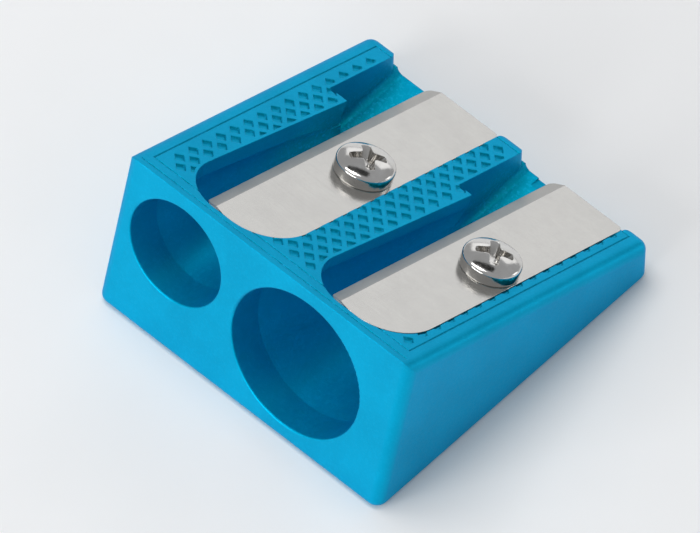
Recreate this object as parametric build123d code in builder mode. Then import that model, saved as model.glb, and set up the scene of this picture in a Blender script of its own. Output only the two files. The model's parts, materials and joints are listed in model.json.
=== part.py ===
"""Hand-held two-hole pencil sharpener: a wedge-shaped cast casing, two blades and two screws.

Frame: millimetres, +Z up, origin at the middle of the casing's underside.
+X is to the right (the large hole's side), and pencils go in along +Y through the front face.
"""
from build123d import *
from math import cos, radians, sin, tan
import os

os.makedirs("parts", exist_ok=True)

# ---- casing: overall wedge -------------------------------------------------------------------
width = 24.8
length = 26.2
front_lean = 12.5          # the front face leans back from upright, in degrees
front_height = 13.4        # measured up the leaning front face
top_slope = 22.65          # the top face falls towards the back, in degrees
edge_round = 0.8           # upright corners, long top edges and the top's back edge
base_round = 0.5

# ---- the two sharpening stations, left to right -----------------------------------------------
# bore_x and bore_height (up the front face) place a hole, pocket_x is the left wall of its blade
# pocket, relief_x the left wall of the chip relief behind it, and edge_x the cutting edge.
stations = {
    "small": dict(bore_x=-7.15, bore_height=8.35, bore_r=3.9, pocket_x=-9.0,
                  relief_x=-9.9, edge_x=-6.87, screw_x=-3.04),
    "large": dict(bore_x=3.71, bore_height=6.87, bore_r=5.45, pocket_x=2.0,
                  relief_x=1.45, edge_x=4.03, screw_x=8.05),
}
bore_land = 2.6            # straight length of a bore before its cone
cone_half_angle = 10.9
bore_depth = 20.0          # where both cones stop
mouth_round = 0.12

# ---- blade pockets, measured on the top face from its front edge ---------------------------------
pocket_front = 0.95
pocket_width = 8.45
pocket_left_round = 3.3
pocket_right_round = 3.65
pocket_draft = 0.62        # how far the left wall has moved in where the chip relief starts
step_at = 18.05            # start of the chip relief
slot_past_bore = 1.2       # the chip slot reaches this far right of the bore's axis
relief_floor = 1.4         # height of the relief's floor above the underside
relief_round = 0.5
heel_round = 0.7           # back ends of the walls beside the pockets

# ---- blades and screws -----------------------------------------------------------------------------
blade_thickness = 0.55
blade_sink = 0.3           # the blade's top lies this far below the top face
blade_width = 6.15
blade_front = 1.3
blade_back = 25.1
blade_nose_r = 3.7
blade_heel_round = 0.4
bevel_width = 1.05
edge_land = 0.03           # steel left at the cutting edge
screw_at = 13.5
screw_r = 1.15             # outside of the thread
screw_reach = 1.9          # thread below the blade
screw_tip = 0.25           # chamfer at the screw's end
screw_clearance = 0.06
tapped_depth = 2.1
blade_hole_r = 1.3
head_r = 2.05
head_side = 0.8            # upright part of the head's rim
head_height = 1.4
head_edge_round = 0.3
recess_span = 2.7
recess_arm = 0.6
recess_depth = 0.8
recess_taper = 9

# ---- grip pattern and border lines on the top face ----------------------------------------------
cell_step = 0.712          # half the diagonal pitch of the lattice of cells
cell_side = 0.66
cell_depth = 0.14
cell_taper = 20
cell_x = -0.318            # offset of the lattice from the middle, and from the front edge
cell_y = 0.039
least_cell = 0.012         # clipped pits smaller than this, in cubic millimetres, are left out
grip_left = -11.2
grip_right = 11.1
grip_front = 1.35
grip_back = 24.5
grip_border = 0.4          # plain strip inside the border lines
grip_rim = 0.22            # plain strip beside the pockets
line_width = 0.11
line_depth = 0.06
lip_line = 0.55            # a second line sets off a narrow lip along the front edge

seat_sink = blade_sink + blade_thickness
lean = radians(front_lean)
slope = radians(top_slope)
front_edge = Vector(0, -length / 2 + front_height * sin(lean), front_height * cos(lean))
back_height = front_edge.Z - (length / 2 - front_edge.Y) * tan(slope)
past_back = (length / 2 - front_edge.Y) / cos(slope) + 2

# Local x runs to the right; local y runs back along the top face, or up the front face.
top_face = Plane(origin=front_edge, x_dir=(1, 0, 0), z_dir=(0, sin(slope), cos(slope)))
front_face = Plane(origin=(0, -length / 2, 0), x_dir=(1, 0, 0), z_dir=(0, -cos(lean), sin(lean)))
bore_direction = -front_face.z_dir
across_bore = Vector(1, 0, 0).cross(bore_direction)


def pocket_outline(x):
    """Flat outline of a blade pocket with its left wall at x, open past the back."""
    right = x + pocket_width
    left_centre = (x + pocket_left_round, pocket_front + pocket_left_round)
    right_centre = (right - pocket_right_round, pocket_front + pocket_right_round)
    with BuildSketch() as outline:
        with BuildLine():
            Line((x + pocket_draft, step_at), (x, left_centre[1]))
            CenterArc(left_centre, pocket_left_round, 180, 90)
            Line((left_centre[0], pocket_front), (right_centre[0], pocket_front))
            CenterArc(right_centre, pocket_right_round, 270, 90)
            Line((right, right_centre[1]), (right, past_back))
            Polyline((right, past_back), (x + pocket_draft, past_back), (x + pocket_draft, step_at))
        make_face()
    return outline.sketch


def relief_outline(x, right):
    """Flat outline of a chip relief, from the step to past the back."""
    with BuildSketch() as outline:
        with Locations((x, step_at)):
            Rectangle(right - x, past_back, align=(Align.MIN, Align.MIN))
    return outline.sketch


def sunken_areas():
    """Flat outlines of everything sunk into the top face."""
    outlines = [pocket_outline(s["pocket_x"]) for s in stations.values()]
    return outlines + [relief_outline(s["relief_x"], s["edge_x"]) for s in stations.values()]


def bore_cutter(s):
    """Straight bore with a cone behind it, square to the front face."""
    mouth = front_face.from_local_coords((s["bore_x"], s["bore_height"], 0))
    end_r = s["bore_r"] - (bore_depth - bore_land) * tan(radians(cone_half_angle))
    with BuildPart() as bore:
        with BuildSketch(Plane(origin=mouth, x_dir=bore_direction, z_dir=(1, 0, 0))):
            with BuildLine():
                Polyline(
                    (-1, 0),
                    (-1, s["bore_r"]),
                    (bore_land, s["bore_r"]),
                    (bore_depth, end_r),
                    (bore_depth, 0),
                    close=True,
                )
            make_face()
        revolve(axis=Axis(mouth, bore_direction))
    return bore.part


def slot_cutter(s):
    """Chip slot: the pocket left of the blade's seat, down to the level of the bore's axis."""
    mouth = front_face.from_local_coords((s["bore_x"], s["bore_height"], 0))
    with BuildPart() as slot:
        with BuildSketch(top_face):
            add(pocket_outline(s["pocket_x"]))
            with Locations((s["bore_x"] + slot_past_bore, 0)):
                Rectangle(2 * width, 3 * length, align=(Align.MIN, Align.CENTER), mode=Mode.SUBTRACT)
        extrude(amount=-front_height)
        split(bisect_by=Plane(origin=mouth, x_dir=(1, 0, 0), z_dir=across_bore))
    return slot.part


def relief_cutter(s):
    """Chip relief behind the slot, down to a level floor with a rounded foot on the left."""
    with BuildPart() as relief:
        with BuildSketch(top_face):
            add(relief_outline(s["relief_x"], s["bore_x"] + slot_past_bore))
        extrude(amount=-front_height)
        split(bisect_by=Plane.XY.offset(relief_floor))
        foot = relief.faces().sort_by(Axis.Z)[0].edges().filter_by(Axis.Y).sort_by(Axis.X)[0]
        fillet(foot, relief_round)
    return relief.part


def screw_plane(s, sink):
    """Plane square to a screw, sink below the top face, with its origin on the screw's axis."""
    return Plane(
        origin=top_face.from_local_coords((s["screw_x"], screw_at, -sink)),
        x_dir=(1, 0, 0),
        z_dir=top_face.z_dir,
    )


def heel_outline():
    """What is cut off to round a wall's back end: the wall is on the left, its corner at the origin."""
    with BuildSketch() as corner:
        with Locations((-heel_round, -heel_round)):
            Rectangle(heel_round, 2 * heel_round, align=(Align.MIN, Align.MIN))
            Circle(heel_round, mode=Mode.SUBTRACT)
    return corner.sketch


def grip_cells():
    """Square pits set corner to corner over the top face, clear of the pockets and borders."""
    with BuildPart() as pit:
        with BuildSketch():
            Rectangle(cell_side, cell_side, rotation=45)
        extrude(amount=-cell_depth, taper=cell_taper)
    columns = range(int(grip_left / cell_step) - 1, int(grip_right / cell_step) + 2)
    rows = range(1, int(grip_back / cell_step) + 2)
    places = [
        top_face.location * Location((cell_x + column * cell_step, cell_y + row * cell_step, 0))
        for column in columns
        for row in rows
        if (column + row) % 2 == 0
    ]
    with BuildPart() as field:
        with BuildSketch(top_face):
            with Locations((grip_left + grip_border, grip_front + grip_border)):
                Rectangle(
                    grip_right - grip_left - 2 * grip_border,
                    grip_back - grip_front - 2 * grip_border,
                    align=(Align.MIN, Align.MIN),
                )
            for outline in sunken_areas():
                add([outline, Pos(-grip_rim, 0) * outline], mode=Mode.SUBTRACT)
        extrude(amount=-2 * cell_depth)
    with BuildPart() as pits:
        with Locations(*places):
            add(pit.part)
        add(field.part, mode=Mode.INTERSECT)
    return [cell for cell in pits.solids() if cell.volume > least_cell]


def border_lines():
    """Fine lines cut in the top face: a frame round the grip pattern, and the front lip's line."""
    with BuildPart() as lines:
        with BuildSketch(top_face):
            for y in (grip_front, grip_back):
                with Locations(((grip_left + grip_right) / 2, y)):
                    Rectangle(grip_right - grip_left + line_width, line_width)
            for x in (grip_left, grip_right):
                with Locations((x, (grip_front + grip_back) / 2)):
                    Rectangle(line_width, grip_back - grip_front)
            with Locations((0, lip_line)):
                Rectangle(width - 2 * edge_round, line_width)
            add(sunken_areas(), mode=Mode.SUBTRACT)
        extrude(amount=-line_depth)
    return lines.part


def blade(s):
    """Flat blade seated in a pocket: curved nose, rounded heel, cutting edge bevelled from above."""
    left = s["edge_x"]
    right = left + blade_width
    nose = (right - blade_nose_r, blade_front + blade_nose_r)
    across = Axis(front_edge, top_face.z_dir)
    along = Axis(front_edge, top_face.y_dir)
    with BuildPart() as part:
        with BuildSketch(top_face.offset(-blade_sink)):
            with Locations((left, blade_front)):
                Rectangle(blade_width, blade_back - blade_front, align=(Align.MIN, Align.MIN))
            with BuildSketch(mode=Mode.INTERSECT):
                with Locations(nose):
                    Circle(blade_nose_r)
                    Rectangle(2 * blade_nose_r, length, align=(Align.CENTER, Align.MIN))
        extrude(amount=-blade_thickness)
        fillet(part.edges().filter_by(across).group_by(along)[-1], blade_heel_round)
        corner = top_face.from_local_coords((left, 0, -blade_sink))
        edge_level = edge_land - blade_thickness
        with BuildSketch(Plane(origin=corner, x_dir=(1, 0, 0), z_dir=-top_face.y_dir)):
            with BuildLine():
                Polyline(
                    (0, edge_level),
                    (bevel_width, 0),
                    (bevel_width, 1),
                    (-1, 1),
                    (-1, edge_level),
                    close=True,
                )
            make_face()
        extrude(amount=-2 * length, mode=Mode.SUBTRACT)
        with Locations(screw_plane(s, blade_sink)):
            Hole(blade_hole_r)
    return part.part


def screw(s, turn):
    """Cross-recess screw seated on a blade, its shank as wide as its thread."""
    seat = screw_plane(s, blade_sink)
    with BuildPart() as part:
        with BuildSketch(Plane(origin=seat.origin, x_dir=(1, 0, 0), z_dir=-top_face.y_dir)):
            with BuildLine():
                Polyline((0, head_height), (0, 0), (head_r, 0), (head_r, head_side))
                TangentArc((0, head_height), (head_r, head_side), tangent=(1, 0))
            make_face()
        revolve(axis=Axis(seat.origin, seat.z_dir))
        with Locations(seat):
            Cylinder(screw_r, blade_thickness + screw_reach, align=(Align.CENTER, Align.CENTER, Align.MAX))
        down = Axis(seat.origin, -seat.z_dir)
        chamfer(part.faces().sort_by(down)[-1].edges(), screw_tip)
        rim = part.edges().filter_by(GeomType.CIRCLE).filter_by(lambda e: abs(e.radius - head_r) < 0.01)
        fillet(rim.sort_by(down)[0], head_edge_round)
        with BuildSketch(seat.offset(head_height)):
            for angle in (turn, turn + 90):
                Rectangle(recess_span, recess_arm, rotation=angle)
        extrude(amount=-recess_depth, taper=recess_taper, mode=Mode.SUBTRACT)
    return part.part


# ---- casing -------------------------------------------------------------------------------------------
with BuildPart() as casing:
    with BuildSketch(Plane.YZ):
        with BuildLine():
            Polyline(
                (-length / 2, 0),
                (length / 2, 0),
                (length / 2, back_height),
                (front_edge.Y, front_edge.Z),
                close=True,
            )
        make_face()
    extrude(amount=width / 2, both=True)
    leaning = casing.edges().filter_by(Axis(front_edge, front_face.y_dir))
    uprights = casing.edges().filter_by(Axis.Z) + leaning
    shoulders = casing.edges().filter_by(Axis(front_edge, top_face.y_dir))
    tail = casing.faces().sort_by(Axis.Y)[-1].edges().sort_by(Axis.Z)[-1]
    fillet(uprights + shoulders + tail, edge_round)
    fillet(casing.faces().sort_by(Axis.Z)[0].edges(), base_round)
    for s in stations.values():
        add(bore_cutter(s), mode=Mode.SUBTRACT)
    front = casing.faces().sort_by(Axis((0, 0, 0), front_face.z_dir))[-1]
    mouths = [wire.edges() for wire in front.inner_wires()]
    fillet(mouths, mouth_round)
    for s in stations.values():
        with BuildSketch(top_face):
            add(pocket_outline(s["pocket_x"]))
        extrude(amount=-seat_sink, mode=Mode.SUBTRACT)
        add(slot_cutter(s), mode=Mode.SUBTRACT)
        add(relief_cutter(s), mode=Mode.SUBTRACT)
        with Locations(screw_plane(s, seat_sink)):
            Hole(screw_r + screw_clearance, depth=tapped_depth)
    left_heels = [(s["relief_x"], length / 2) for s in stations.values()]
    with BuildSketch(Plane.XY.offset(relief_floor + relief_round)):
        with Locations(*left_heels):
            add(heel_outline())
    extrude(amount=front_height, mode=Mode.SUBTRACT)
    right_heels = [(s["pocket_x"] + pocket_width, past_back - 2) for s in stations.values()]
    with BuildSketch(top_face.offset(-seat_sink)):
        with Locations(*right_heels):
            add(mirror(heel_outline(), about=Plane.YZ, mode=Mode.PRIVATE))
    extrude(amount=2 * seat_sink, mode=Mode.SUBTRACT)
    add(border_lines(), mode=Mode.SUBTRACT)
    add(grip_cells(), mode=Mode.SUBTRACT)
casing.part.label = "casing"
export_step(casing.part, "parts/casing.step")

# ---- blades and screws ----------------------------------------------------------------------------------
small_blade = blade(stations["small"])
small_blade.label = "small_blade"
export_step(small_blade, "parts/small_blade.step")

large_blade = blade(stations["large"])
large_blade.label = "large_blade"
export_step(large_blade, "parts/large_blade.step")

small_blade_screw = screw(stations["small"], 47)
small_blade_screw.label = "small_blade_screw"
export_step(small_blade_screw, "parts/small_blade_screw.step")

large_blade_screw = screw(stations["large"], 38)
large_blade_screw.label = "large_blade_screw"
export_step(large_blade_screw, "parts/large_blade_screw.step")
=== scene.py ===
import bmesh
import bpy
import json
import math
from mathutils import Matrix, Vector


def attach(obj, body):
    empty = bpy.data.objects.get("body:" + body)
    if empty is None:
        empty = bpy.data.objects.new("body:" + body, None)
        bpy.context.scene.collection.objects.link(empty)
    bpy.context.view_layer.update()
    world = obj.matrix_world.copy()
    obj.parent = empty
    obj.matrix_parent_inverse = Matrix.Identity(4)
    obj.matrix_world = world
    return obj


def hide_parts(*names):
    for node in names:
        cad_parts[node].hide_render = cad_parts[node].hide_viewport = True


# Hand-held two-hole pencil sharpener. The casing and blades are the CAD solids with new
# materials; both screws are replaced by detailed ones with a helical thread.

MM = 0.001

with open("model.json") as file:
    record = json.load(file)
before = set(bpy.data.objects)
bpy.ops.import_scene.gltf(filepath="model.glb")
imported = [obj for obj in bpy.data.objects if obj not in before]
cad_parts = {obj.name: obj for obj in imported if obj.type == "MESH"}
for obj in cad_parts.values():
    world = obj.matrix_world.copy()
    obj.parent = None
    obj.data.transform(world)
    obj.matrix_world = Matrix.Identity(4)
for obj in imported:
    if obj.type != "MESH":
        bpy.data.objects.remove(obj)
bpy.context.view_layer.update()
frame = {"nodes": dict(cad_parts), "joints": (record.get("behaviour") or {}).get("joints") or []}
nodes = frame["nodes"]
joints = {joint["name"]: joint for joint in frame["joints"]}
square_to_top = joints["small_blade_lift"]["axis"]
slope = math.atan2(square_to_top[1], square_to_top[2])

# ---- materials ---------------------------------------------------------------------------------


class Shader:
    """A Principled material with short calls for the procedural nodes that feed it."""

    def __init__(self, name, **values):
        self.material = bpy.data.materials.new(name)
        self.material.use_nodes = True
        self.tree = self.material.node_tree
        self.bsdf = self.tree.nodes["Principled BSDF"]
        for key, value in values.items():
            self.bsdf.inputs[key.replace("_", " ")].default_value = value
        coordinates = self.add("ShaderNodeTexCoord")
        self.place = coordinates.outputs["Object"]
        self.turned = coordinates.outputs["Normal"]

    def add(self, kind, inputs=None, **settings):
        node = self.tree.nodes.new(kind)
        for key, value in settings.items():
            setattr(node, key, value)
        for key, value in (inputs or {}).items():
            if isinstance(value, bpy.types.NodeSocket):
                self.tree.links.new(value, node.inputs[key])
            else:
                node.inputs[key].default_value = value
        return node

    def stretched(self, scale, turn=(0, 0, 0)):
        """Object coordinates turned, then scaled per axis."""
        return self.add(
            "ShaderNodeMapping",
            {"Vector": self.place, "Rotation": turn, "Scale": scale},
            vector_type="TEXTURE",
        ).outputs[0]

    def noise(self, scale, detail=3.0, roughness=0.5, at=None):
        """Noise with features of about 1 / scale metres."""
        vector = at or self.place
        return self.add(
            "ShaderNodeTexNoise",
            {"Vector": vector, "Scale": scale, "Detail": detail, "Roughness": roughness},
        ).outputs["Fac"]

    def grains(self, scale):
        """A random grey for each small cell, for metal grain."""
        cells = self.add("ShaderNodeTexVoronoi", {"Vector": self.place, "Scale": scale})
        return self.add("ShaderNodeSeparateColor", {"Color": cells.outputs["Color"]}).outputs[0]

    def spread(self, value, low, high, to_low=0.0, to_high=1.0):
        return self.add(
            "ShaderNodeMapRange",
            {"Value": value, "From Min": low, "From Max": high, "To Min": to_low, "To Max": to_high},
        ).outputs[0]

    def math(self, operation, a, b):
        return self.add("ShaderNodeMath", {0: a, 1: b}, operation=operation).outputs[0]

    def blend(self, amount, a, b):
        node = self.add("ShaderNodeMix", {"Factor": amount}, data_type="RGBA")
        for socket, value in ((node.inputs[6], a), (node.inputs[7], b)):
            if isinstance(value, bpy.types.NodeSocket):
                self.tree.links.new(value, socket)
            else:
                socket.default_value = (*value, 1)
        return node.outputs[2]

    def soft_edges(self, radius):
        """(normal with edges rounded by that radius, mask of 1 on the edges and 0 on the flats)."""
        rounded = self.add("ShaderNodeBevel", {"Radius": radius}, samples=4).outputs[0]
        true = self.add("ShaderNodeNewGeometry").outputs["Normal"]
        same = self.add("ShaderNodeVectorMath", {0: rounded, 1: true}, operation="DOT_PRODUCT")
        return rounded, self.spread(same.outputs["Value"], 0.995, 0.8)

    def openness(self, distance):
        """1 on open faces, towards 0 where the piece itself closes a point in within that distance."""
        return self.add(
            "ShaderNodeAmbientOcclusion", {"Distance": distance}, samples=8, only_local=True
        ).outputs["AO"]

    def bump(self, height, distance, strength=1.0, normal=None):
        inputs = {"Height": height, "Distance": distance, "Strength": strength}
        if normal is not None:
            inputs["Normal"] = normal
        return self.add("ShaderNodeBump", inputs).outputs[0]

    def link(self, name, socket):
        self.tree.links.new(socket, self.bsdf.inputs[name])


def casing_lacquer():
    """Blue lacquer over cast metal, with painted highlights along the edges, painted glints on its grain,
    and a painted greener bounce-light tint and painted shade in the hollows.
    """
    s = Shader("blue_lacquer", Metallic=0.62, Specular_IOR_Level=0.35, Specular_Tint=(0.0, 0.55, 1.0, 1.0))
    edge_normal, edge = s.soft_edges(0.09 * MM)
    clouds = s.noise(260, 4)
    grain = s.grains(7000)
    fine = s.noise(7000, 3, 0.6)
    # Painted light: the hollows get a greener tint standing in for the light bounced round them, and
    # stronger painted glints.
    inside = s.spread(s.openness(4.0 * MM), 0.85, 0.45)
    # Painted shade: the knurl pits are darkened where the casing closes in round them.
    pit_shade = s.spread(s.openness(0.35 * MM), 0.95, 0.45, 0.0, 0.55)
    outer = s.blend(s.spread(clouds, 0.35, 0.65), (0.0, 0.35, 0.59), (0.0, 0.39, 0.65))
    shaded_hollows = s.blend(pit_shade, s.blend(inside, outer, (0.0, 0.44, 0.54)), (0.0, 0.20, 0.33))
    # Painted glints: brighter cells of the cast grain, more of them in the hollows; the grain is real, its
    # brightness is painted light.
    painted_glints = s.math("MULTIPLY", s.spread(grain, 0.6, 1.0), s.spread(inside, 0.0, 1.0, 0.12, 0.6))
    glinted = s.blend(painted_glints, shaded_hollows, (0.02, 0.60, 0.90))
    # Painted highlight: lighter lacquer along the edges, broken up by noise.
    edge_highlight = s.math("MULTIPLY", edge, s.spread(s.noise(1500, 3), 0.35, 0.7, 0.15, 0.7))
    s.link("Base Color", s.blend(edge_highlight, glinted, (0.01, 0.47, 0.82)))
    grainy = s.spread(grain, 0.0, 1.0, -0.05, 0.05)
    s.link("Roughness", s.math("ADD", s.spread(fine, 0.3, 0.7, 0.36, 0.48), grainy))
    ripple = s.bump(clouds, 0.02 * MM, 0.3, edge_normal)
    sand = s.bump(fine, 0.012 * MM, 0.55, ripple)
    s.link("Normal", s.bump(grain, 0.006 * MM, 0.35, sand))
    return s.material


def blade_steel():
    """Ground steel: grinding lines both ways, faint stains, a duller bevel and a painted highlight along
    the edges.
    """
    s = Shader("ground_steel", Metallic=1.0)
    edge_normal, edge = s.soft_edges(0.04 * MM)
    along_blade = (-slope, 0, 0)
    lines = s.noise(1, 4, 0.65, s.stretched((9 * MM, 0.035 * MM, 0.035 * MM), along_blade))
    long_lines = s.noise(1, 3, 0.6, s.stretched((0.05 * MM, 12 * MM, 12 * MM), along_blade))
    stains = s.noise(420, 5, 0.6)
    pits = s.grains(6000)
    steel = s.blend(s.spread(stains, 0.35, 0.7), (0.53, 0.52, 0.50), (0.59, 0.58, 0.555))
    lined = s.blend(s.spread(lines, 0.35, 0.7, 0.0, 0.35), steel, (0.50, 0.49, 0.475))
    # Painted highlight: lighter steel along the edges.
    s.link("Base Color", s.blend(s.math("MULTIPLY", edge, 0.6), lined, (0.80, 0.79, 0.77)))
    stained = s.spread(stains, 0.3, 0.7, -0.02, 0.04)
    rough = s.math("ADD", s.spread(lines, 0.3, 0.7, 0.15, 0.22), stained)
    facing = s.add("ShaderNodeSeparateXYZ", {"Vector": s.turned}).outputs["X"]
    bevel = s.spread(facing, -0.2, -0.35)
    rough = s.math("ADD", rough, s.spread(pits, 0.0, 1.0, -0.02, 0.02))
    s.link("Roughness", s.math("ADD", rough, s.math("MULTIPLY", bevel, 0.3)))
    ground = s.bump(lines, 0.004 * MM, 0.5, edge_normal)
    s.link("Normal", s.bump(long_lines, 0.004 * MM, 0.25, ground))
    return s.material


def screw_plating():
    """Bright nickel plating with tool marks and a painted highlight along the edges; duller down in the
    recess and thread, with painted shade there.
    """
    s = Shader("nickel_plating", Metallic=1.0)
    edge_normal, edge = s.soft_edges(0.05 * MM)
    marks = s.noise(5200, 4, 0.65)
    waves = s.noise(900, 3)
    # Painted shade: the metal is darkened where the screw's own recess and thread close in.
    open_metal = s.spread(s.openness(0.5 * MM), 0.35, 0.9)
    bright = s.blend(s.spread(waves, 0.35, 0.7), (0.66, 0.645, 0.62), (0.74, 0.73, 0.71))
    shaded = s.blend(open_metal, (0.30, 0.28, 0.255), bright)
    # Painted highlight: lighter metal along the edges.
    s.link("Base Color", s.blend(s.math("MULTIPLY", edge, 0.5), shaded, (0.86, 0.85, 0.83)))
    duller = s.spread(open_metal, 0.0, 1.0, 0.16, 0.0)
    s.link("Roughness", s.math("ADD", s.spread(marks, 0.3, 0.75, 0.07, 0.17), duller))
    wavy = s.bump(waves, 0.02 * MM, 0.25, edge_normal)
    s.link("Normal", s.bump(marks, 0.006 * MM, 0.4, wavy))
    return s.material


def floor_paper():
    s = Shader("pale_floor", Roughness=0.85)
    mottle = s.spread(s.noise(60, 3), 0.3, 0.7)
    s.link("Base Color", s.blend(mottle, (0.90, 0.90, 0.90), (0.93, 0.93, 0.93)))
    s.link("Normal", s.bump(s.noise(3000, 3), 0.01 * MM, 0.3))
    return s.material


def dark_card():
    s = Shader("dark_card", Roughness=0.9)
    s.link("Base Color", s.blend(s.noise(60), (0.01, 0.01, 0.01), (0.02, 0.02, 0.02)))
    return s.material


# ---- screws --------------------------------------------------------------------------------------

HEAD_R = 2.05 * MM
HEAD_SIDE = 0.88 * MM
HEAD_HEIGHT = 1.4 * MM
RIM_ROUND = 0.32 * MM
FOOT_ROUND = 0.08 * MM
THREAD_R = 1.15 * MM
THREAD_DEPTH = 0.21 * MM
THREAD_PITCH = 0.4 * MM
THREAD_ROOT = 0.12          # flat of the groove, as a share of half a pitch
THREAD_FLANK = 0.7          # rise to the crest, as a share of half a pitch
TIP_TAPER = 0.3 * MM        # length over which the thread runs out at the tip
TIP_CUT = 0.12 * MM
SHANK_LENGTH = 2.45 * MM
SHANK_STEPS = 120
PLAIN_NECK = 0.3 * MM       # shank without thread under the head
AROUND = 96                 # vertices round the screw
RECESS_SPAN = 2.75 * MM
RECESS_ARM = 0.66 * MM
RECESS_DEPTH = 0.85 * MM
RECESS_WEB = 0.22 * MM      # rounding of the cross's inner corners
SHARP_ANGLE = math.radians(32)


def clamp(value):
    return min(1.0, max(0.0, value))


def arc(cx, cz, r, start, end, count):
    """Points of an arc, angles in degrees from +x towards +z."""
    angles = [math.radians(start + (end - start) * i / count) for i in range(count + 1)]
    return [(cx + r * math.cos(a), cz + r * math.sin(a)) for a in angles]


def head_profile():
    """(radius, height) pairs of the head from under its rim to the middle of its dome."""
    rise = HEAD_HEIGHT - HEAD_SIDE
    dome_r = (HEAD_R * HEAD_R + rise * rise) / (2 * rise)
    dome_z = HEAD_HEIGHT - dome_r
    rim_x = HEAD_R - RIM_ROUND
    rim_z = dome_z + math.sqrt((dome_r - RIM_ROUND) ** 2 - rim_x**2)
    rim_end = math.degrees(math.atan2(rim_z - dome_z, rim_x))
    points = arc(HEAD_R - FOOT_ROUND, FOOT_ROUND, FOOT_ROUND, -90, 0, 5)
    points += arc(rim_x, rim_z, RIM_ROUND, 0, rim_end, 10)
    points += arc(0, dome_z, dome_r, rim_end + 2, 90, 18)[:-1]
    return points


def screw_shape(name):
    """Head and threaded shank as one closed mesh, its axis on Z and its seat at z = 0."""
    shape = bmesh.new()
    rings = []
    angles = [2 * math.pi * i / AROUND for i in range(AROUND)]

    def ring(radius_at, height):
        return [
            shape.verts.new((radius_at(a) * math.cos(a), radius_at(a) * math.sin(a), height))
            for a in angles
        ]

    def thread_radius(height):
        depth = -height

        def at(angle):
            turn = depth / THREAD_PITCH + angle / (2 * math.pi)
            ridge = 1 - abs(2 * (turn % 1.0) - 1)
            crest = clamp((ridge - THREAD_ROOT) / THREAD_FLANK)
            start = clamp((depth - PLAIN_NECK) / (0.5 * THREAD_PITCH))
            taper = clamp((SHANK_LENGTH - depth) / TIP_TAPER)
            core = THREAD_R - THREAD_DEPTH - TIP_CUT * (1 - taper)
            return core + THREAD_DEPTH * crest * start * taper

        return at

    for k in range(SHANK_STEPS + 1):
        height = -SHANK_LENGTH * (1 - k / SHANK_STEPS)
        rings.append(ring(thread_radius(height), height))
    for radius, height in head_profile():
        rings.append(ring(lambda angle, r=radius: r, height))
    for low, high in zip(rings, rings[1:]):
        for i in range(AROUND):
            j = (i + 1) % AROUND
            shape.faces.new((low[i], low[j], high[j], high[i]))
    shape.faces.new(list(reversed(rings[0])))
    top = shape.verts.new((0, 0, HEAD_HEIGHT))
    for i in range(AROUND):
        shape.faces.new((rings[-1][i], rings[-1][(i + 1) % AROUND], top))
    bmesh.ops.recalc_face_normals(shape, faces=shape.faces[:])
    mesh = bpy.data.meshes.new(name)
    shape.to_mesh(mesh)
    shape.free()
    return mesh


def recess_outline(span, arm, web):
    """Cross outline with rounded arm ends and webs in its inner corners, anticlockwise."""
    points = []
    for quarter in range(4):
        turn = math.radians(90 * quarter)
        half = arm / 2
        reach = span / 2
        corner = [
            (half + web, -half),
            (reach - 0.35 * half, -half),
            (reach - 0.08 * half, -0.55 * half),
            (reach, 0.0),
            (reach - 0.08 * half, 0.55 * half),
            (reach - 0.35 * half, half),
            (half + web, half),
            (half + 0.30 * web, half + 0.30 * web),
        ]
        points += [
            (x * math.cos(turn) - y * math.sin(turn), x * math.sin(turn) + y * math.cos(turn))
            for x, y in corner
        ]
    return points


def recess_cutter(name, turn):
    """Tapered cross with a pointed bottom, cut down into the head."""
    # Each level: height, and the shares of the span and of the arm's width left there.
    levels = [
        (HEAD_HEIGHT + 0.2 * MM, 1.0, 1.0),
        (HEAD_HEIGHT - 0.10 * MM, 1.0, 1.0),
        (HEAD_HEIGHT - 0.45 * MM, 0.80, 0.88),
        (HEAD_HEIGHT - RECESS_DEPTH, 0.50, 0.70),
    ]
    shape = bmesh.new()
    rings = []
    for height, span, arm in levels:
        outline = recess_outline(RECESS_SPAN * span, RECESS_ARM * arm, RECESS_WEB * arm)
        rings.append([shape.verts.new((x, y, height)) for x, y in outline])
    count = len(rings[0])
    for high, low in zip(rings, rings[1:]):
        for i in range(count):
            j = (i + 1) % count
            shape.faces.new((low[i], low[j], high[j], high[i]))
    shape.faces.new(rings[0])
    tip = shape.verts.new((0, 0, HEAD_HEIGHT - RECESS_DEPTH - 0.1 * MM))
    for i in range(count):
        shape.faces.new((rings[-1][(i + 1) % count], rings[-1][i], tip))
    bmesh.ops.recalc_face_normals(shape, faces=shape.faces[:])
    bmesh.ops.rotate(shape, verts=shape.verts[:], matrix=Matrix.Rotation(turn, 3, "Z"))
    mesh = bpy.data.meshes.new(name)
    shape.to_mesh(mesh)
    shape.free()
    return mesh


def put(mesh, name):
    obj = bpy.data.objects.new(name, mesh)
    bpy.context.scene.collection.objects.link(obj)
    return obj


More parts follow.
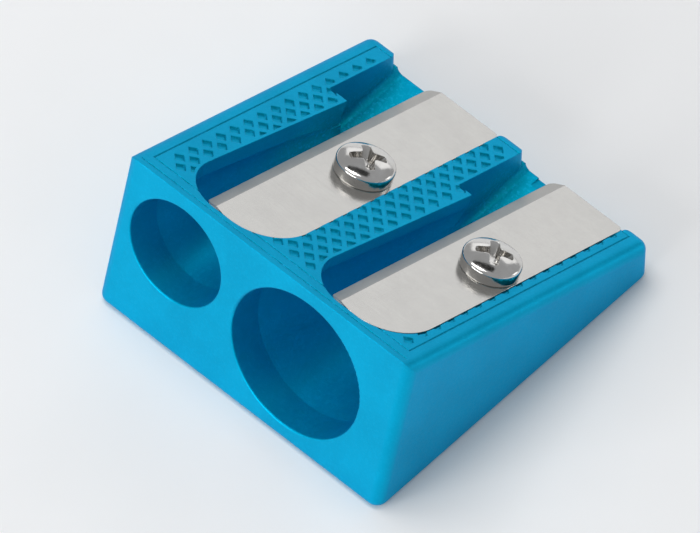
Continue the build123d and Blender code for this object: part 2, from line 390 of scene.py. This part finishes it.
def make_screw(station, turn, material):
    """A detailed screw where the station's screw hinge is, in place of the CAD one."""
    node = station + "_blade_screw"
    hinge = joints[station + "_screw_turn"]
    axis = Vector(hinge["axis"]).normalized()
    across = axis.cross(Vector((1, 0, 0)))
    seat = Matrix((Vector((1, 0, 0)), across, axis)).transposed().to_4x4()
    seat.translation = Vector(hinge["pos_m"])
    blank = put(screw_shape(node + "_blank"), node + "_blank")
    cutter = put(recess_cutter(node + "_cutter", math.radians(turn)), node + "_cutter")
    cut = blank.modifiers.new("recess", "BOOLEAN")
    cut.operation = "DIFFERENCE"
    cut.solver = "EXACT"
    cut.object = cutter
    bpy.context.view_layer.update()
    cut_blank = blank.evaluated_get(bpy.context.evaluated_depsgraph_get())
    mesh = bpy.data.meshes.new_from_object(cut_blank)
    bpy.data.objects.remove(blank)
    bpy.data.objects.remove(cutter)
    mesh.transform(seat)
    mesh.name = node + "_detail"
    mesh.materials.clear()
    mesh.materials.append(material)
    screw = put(mesh, node + "_detail")
    for face in mesh.polygons:
        face.use_smooth = True
    sharp = mesh.attributes.new("sharp_edge", "BOOLEAN", "EDGE")
    shape = bmesh.new()
    shape.from_mesh(mesh)
    sharp_flags = [
        len(edge.link_faces) != 2 or edge.calc_face_angle(0) > SHARP_ANGLE for edge in shape.edges
    ]
    shape.free()
    sharp.data.foreach_set("value", sharp_flags)
    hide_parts(node)
    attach(screw, node)


lacquer = casing_lacquer()
steel = blade_steel()
plating = screw_plating()
for node, material in (("casing", lacquer), ("small_blade", steel), ("large_blade", steel)):
    nodes[node].data.materials.clear()
    nodes[node].data.materials.append(material)
make_screw("small", 47, plating)
make_screw("large", 38, plating)

# ---- stage, lights, camera --------------------------------------------------------------------------

FLOOR_REACH = 0.6
CARD_REACH = (0.13, 0.05)
CARD_PLACE = (-0.09, 0.20, 0.37)
AIM = Vector((0, 0, 0.006))


def sheet(name, reach_x, reach_y, material):
    """A flat rectangle about its origin, reaching that far each way."""
    mesh = bpy.data.meshes.new(name)
    signs = ((-1, -1), (1, -1), (1, 1), (-1, 1))
    corners = [(reach_x * x, reach_y * y, 0) for x, y in signs]
    mesh.from_pydata(corners, [], [(0, 1, 2, 3)])
    mesh.materials.append(material)
    return put(mesh, name)


def aimed(position):
    """Rotation that points a light or card at that position towards the sharpener."""
    return (AIM - Vector(position)).to_track_quat("-Z", "Y").to_euler()


sheet("floor", FLOOR_REACH, FLOOR_REACH, floor_paper())

# Above and behind, out of the camera's sight: it gives the bright screws something dark to mirror.
card = sheet("card", *CARD_REACH, dark_card())
card.location = CARD_PLACE
card.rotation_euler = aimed(CARD_PLACE)
card.visible_camera = False


def softbox(name, position, size, watts):
    """An area light of that width and height, aimed at the sharpener."""
    data = bpy.data.lights.new(name, "AREA")
    data.shape = "RECTANGLE"
    data.size, data.size_y = size
    data.energy = watts
    lamp = bpy.data.objects.new(name, data)
    bpy.context.scene.collection.objects.link(lamp)
    lamp.location = position
    lamp.rotation_euler = aimed(position)


softbox("key", (-0.06, -0.42, 0.14), (0.34, 0.20), 1.2)
softbox("top", (-0.12, 0.02, 0.42), (0.28, 0.24), 0.85)
softbox("back", (-0.20, 0.46, 0.13), (0.44, 0.24), 0.235)
softbox("rim", (0.28, 0.40, 0.07), (0.20, 0.12), 0.12)

world = bpy.data.worlds.new("studio")
bpy.context.scene.world = world
world.use_nodes = True
sky = world.node_tree.nodes["Background"].inputs
sky["Color"].default_value = (0.95, 0.97, 1.0, 1)
sky["Strength"].default_value = 0.40

# The camera looks from the front right: azimuth and elevation of its place, seen from the target.
AZIMUTH = math.radians(41.30)
ELEVATION = math.radians(54.17)
ROLL = math.radians(1.76)
DISTANCE = 1.0982
TARGET = Vector((-0.00143, -0.00067, 0.00151))

back = Vector((
    math.sin(AZIMUTH) * math.cos(ELEVATION),
    -math.cos(AZIMUTH) * math.cos(ELEVATION),
    math.sin(ELEVATION),
))
level = Vector((math.cos(AZIMUTH), math.sin(AZIMUTH), 0))
upright = back.cross(level)
right = level * math.cos(ROLL) + upright * math.sin(ROLL)
up = back.cross(right)
camera_data = bpy.data.cameras.new("camera")
camera_data.lens = 870
camera_data.sensor_width = 36
camera_data.clip_start = 0.01
camera_data.clip_end = 10
camera = bpy.data.objects.new("camera", camera_data)
bpy.context.scene.collection.objects.link(camera)
camera.matrix_world = Matrix((right, up, back)).transposed().to_4x4()
camera.location = TARGET + back * DISTANCE
bpy.context.scene.camera = camera
bpy.context.scene.view_settings.view_transform = "Standard"

bpy.context.view_layer.update()
